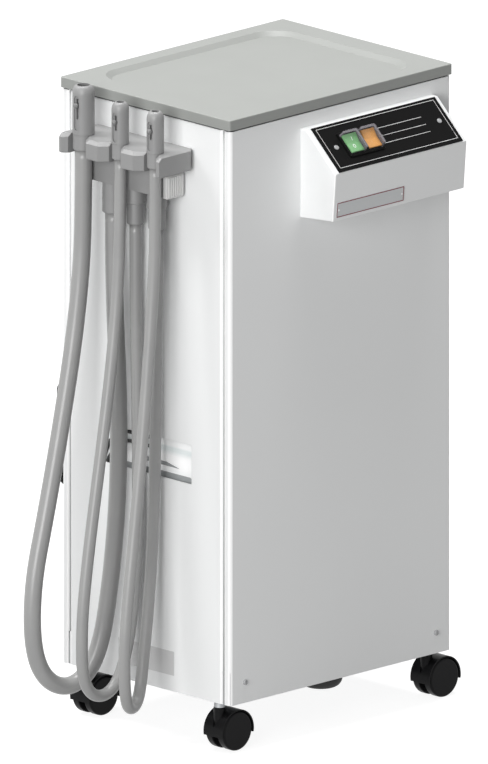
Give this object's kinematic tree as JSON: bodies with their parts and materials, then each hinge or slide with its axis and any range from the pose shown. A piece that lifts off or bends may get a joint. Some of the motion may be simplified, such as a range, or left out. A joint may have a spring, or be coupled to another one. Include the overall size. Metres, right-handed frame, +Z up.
{
  "type": "vacuum aspirator",
  "caption": "Floor-standing vacuum aspirator: white sheet-steel cabinet on twin-wheel castors, switch console, level window and suction hoses with handpieces in a forked holder.",
  "frame": {"origin": "On the floor under the middle of the whole footprint, hoses left out.", "axes": "X runs to the right along the side with the hoses, Y from that side to the back, Z up."},
  "size_m": [0.3863, 0.5635, 0.834],
  "materials": {
    "white_steel": "satin powder coat",
    "zinc_steel": "zinc plated",
    "grey_moulding": "fine moulded grain",
    "grey_hose": "satin",
    "top_grey": "fine moulded grain",
    "black_plastic": "satin",
    "wheel_black": "smooth",
    "light_cap": "moulded",
    "clear_plastic": "clear moulded",
    "green_lens": "polished",
    "orange_lens": "polished",
    "dark_rubber": "matte",
    "cast_alloy": "as cast",
    "steel_bright": "bright plated"
  },
  "bodies": {
    "cabinet": {"chassis_pan": "zinc_steel", "inner_frame": "zinc_steel", "right_side_panel": "white_steel", "left_side_panel": "white_steel", "front_panel": "white_steel", "back_panel": "white_steel", "top_plate": "top_grey", "panel_screws": "steel_bright", "console_shell": "white_steel", "fascia_plate": "black_plastic", "fascia_screws": "steel_bright", "switch_bezel": "black_plastic", "rocker_caps": "clear_plastic", "hose_holder": "grey_moulding", "suction_manifold": "grey_moulding", "collection_jar": "clear_plastic", "jar_rings": "dark_rubber", "jar_lid": "grey_moulding", "jar_pipe": "grey_moulding", "turbine_pipe": "grey_moulding", "turbine_housing": "cast_alloy", "motor": "cast_alloy", "motor_feet": "dark_rubber", "exhaust_silencer": "dark_rubber", "drain_spigot": "black_plastic", "mains_inlet": "black_plastic", "side_grip": "black_plastic", "castor_stems": "zinc_steel", "castor_nuts": "zinc_steel", "large_hose_cuff": "grey_moulding", "small_hose_cuffs": "grey_moulding", "suction_hose_large": "grey_hose", "suction_hose_middle": "grey_hose", "suction_hose_right": "grey_hose"},
    "filter_drawer": {"filter_basket": "clear_plastic", "filter_cap": "light_cap"},
    "power_switch": {"power_rocker": "green_lens"},
    "suction_switch": {"suction_rocker": "orange_lens"},
    "handpiece_body_large": {"handpiece_large": "grey_moulding"},
    "valve_large": {"valve_knob_large": "grey_moulding"},
    "handpiece_body_middle": {"handpiece_middle": "grey_moulding"},
    "valve_middle": {"valve_knob_middle": "grey_moulding"},
    "handpiece_body_right": {"handpiece_right": "grey_moulding"},
    "valve_right": {"valve_knob_right": "grey_moulding"},
    "castor_front_left": {"castor_hood_front_left": "black_plastic", "castor_axle_front_left": "zinc_steel"},
    "wheel_front_left_left": {"castor_wheel_front_left_left": "wheel_black"},
    "wheel_front_left_right": {"castor_wheel_front_left_right": "wheel_black"},
    "castor_front_right": {"castor_hood_front_right": "black_plastic", "castor_axle_front_right": "zinc_steel"},
    "wheel_front_right_left": {"castor_wheel_front_right_left": "wheel_black"},
    "wheel_front_right_right": {"castor_wheel_front_right_right": "wheel_black"},
    "castor_rear_left": {"castor_hood_rear_left": "black_plastic", "castor_axle_rear_left": "zinc_steel"},
    "wheel_rear_left_left": {"castor_wheel_rear_left_left": "wheel_black"},
    "wheel_rear_left_right": {"castor_wheel_rear_left_right": "wheel_black"},
    "castor_rear_right": {"castor_hood_rear_right": "black_plastic", "castor_axle_rear_right": "zinc_steel"},
    "wheel_rear_right_left": {"castor_wheel_rear_right_left": "wheel_black"},
    "wheel_rear_right_right": {"castor_wheel_rear_right_right": "wheel_black"}
  },
  "joints": [
    {"name": "filter_slide", "type": "slide", "parent": "cabinet", "child": "filter_drawer", "axis": [1, 0, 0], "range_m": [0, 0.1]},
    {"name": "power_rock", "type": "hinge", "parent": "cabinet", "child": "power_switch", "pos_m": [0.16711, -0.0008, 0.76292], "axis": [0, 1, 0], "range_deg": [-14, 0]},
    {"name": "suction_rock", "type": "hinge", "parent": "cabinet", "child": "suction_switch", "pos_m": [0.16711, 0.0302, 0.76292], "axis": [0, 1, 0], "range_deg": [-14, 0]},
    {"name": "handpiece_lift_large", "type": "slide", "parent": "cabinet", "child": "handpiece_body_large", "axis": [0, 0, 1], "range_m": [0, 0.045]},
    {"name": "valve_slide_large", "type": "slide", "parent": "handpiece_body_large", "child": "valve_large", "axis": [0, 0, 1], "range_m": [-0.016, 0.0065]},
    {"name": "handpiece_lift_middle", "type": "slide", "parent": "cabinet", "child": "handpiece_body_middle", "axis": [0, 0, 1], "range_m": [0, 0.045]},
    {"name": "valve_slide_middle", "type": "slide", "parent": "handpiece_body_middle", "child": "valve_middle", "axis": [0, 0, 1], "range_m": [-0.009, 0.0065]},
    {"name": "handpiece_lift_right", "type": "slide", "parent": "cabinet", "child": "handpiece_body_right", "axis": [0, 0, 1], "range_m": [0, 0.045]},
    {"name": "valve_slide_right", "type": "slide", "parent": "handpiece_body_right", "child": "valve_right", "axis": [0, 0, 1], "range_m": [-0.009, 0.0065]},
    {"name": "castor_swivel_front_left", "type": "hinge", "parent": "cabinet", "child": "castor_front_left", "pos_m": [-0.13597, -0.16455, 0.0565], "axis": [0, 0, 1], "continuous": true},
    {"name": "wheel_spin_front_left_left", "type": "hinge", "parent": "castor_front_left", "child": "wheel_front_left_left", "pos_m": [-0.13597, -0.14855, 0.025], "axis": [1, 0, 0], "continuous": true},
    {"name": "wheel_spin_front_left_right", "type": "hinge", "parent": "castor_front_left", "child": "wheel_front_left_right", "pos_m": [-0.13597, -0.14855, 0.025], "axis": [1, 0, 0], "continuous": true},
    {"name": "castor_swivel_front_right", "type": "hinge", "parent": "cabinet", "child": "castor_front_right", "pos_m": [0.10003, -0.16455, 0.0565], "axis": [0, 0, 1], "continuous": true},
    {"name": "wheel_spin_front_right_left", "type": "hinge", "parent": "castor_front_right", "child": "wheel_front_right_left", "pos_m": [0.10003, -0.14855, 0.025], "axis": [1, 0, 0], "continuous": true},
    {"name": "wheel_spin_front_right_right", "type": "hinge", "parent": "castor_front_right", "child": "wheel_front_right_right", "pos_m": [0.10003, -0.14855, 0.025], "axis": [1, 0, 0], "continuous": true},
    {"name": "castor_swivel_rear_left", "type": "hinge", "parent": "cabinet", "child": "castor_rear_left", "pos_m": [-0.13597, 0.19745, 0.0565], "axis": [0, 0, 1], "continuous": true},
    {"name": "wheel_spin_rear_left_left", "type": "hinge", "parent": "castor_rear_left", "child": "wheel_rear_left_left", "pos_m": [-0.13597, 0.21345, 0.025], "axis": [1, 0, 0], "continuous": true},
    {"name": "wheel_spin_rear_left_right", "type": "hinge", "parent": "castor_rear_left", "child": "wheel_rear_left_right", "pos_m": [-0.13597, 0.21345, 0.025], "axis": [1, 0, 0], "continuous": true},
    {"name": "castor_swivel_rear_right", "type": "hinge", "parent": "cabinet", "child": "castor_rear_right", "pos_m": [0.10003, 0.19745, 0.0565], "axis": [0, 0, 1], "continuous": true},
    {"name": "wheel_spin_rear_right_left", "type": "hinge", "parent": "castor_rear_right", "child": "wheel_rear_right_left", "pos_m": [0.10003, 0.21345, 0.025], "axis": [1, 0, 0], "continuous": true},
    {"name": "wheel_spin_rear_right_right", "type": "hinge", "parent": "castor_rear_right", "child": "wheel_rear_right_right", "pos_m": [0.10003, 0.21345, 0.025], "axis": [1, 0, 0], "continuous": true}
  ]
}
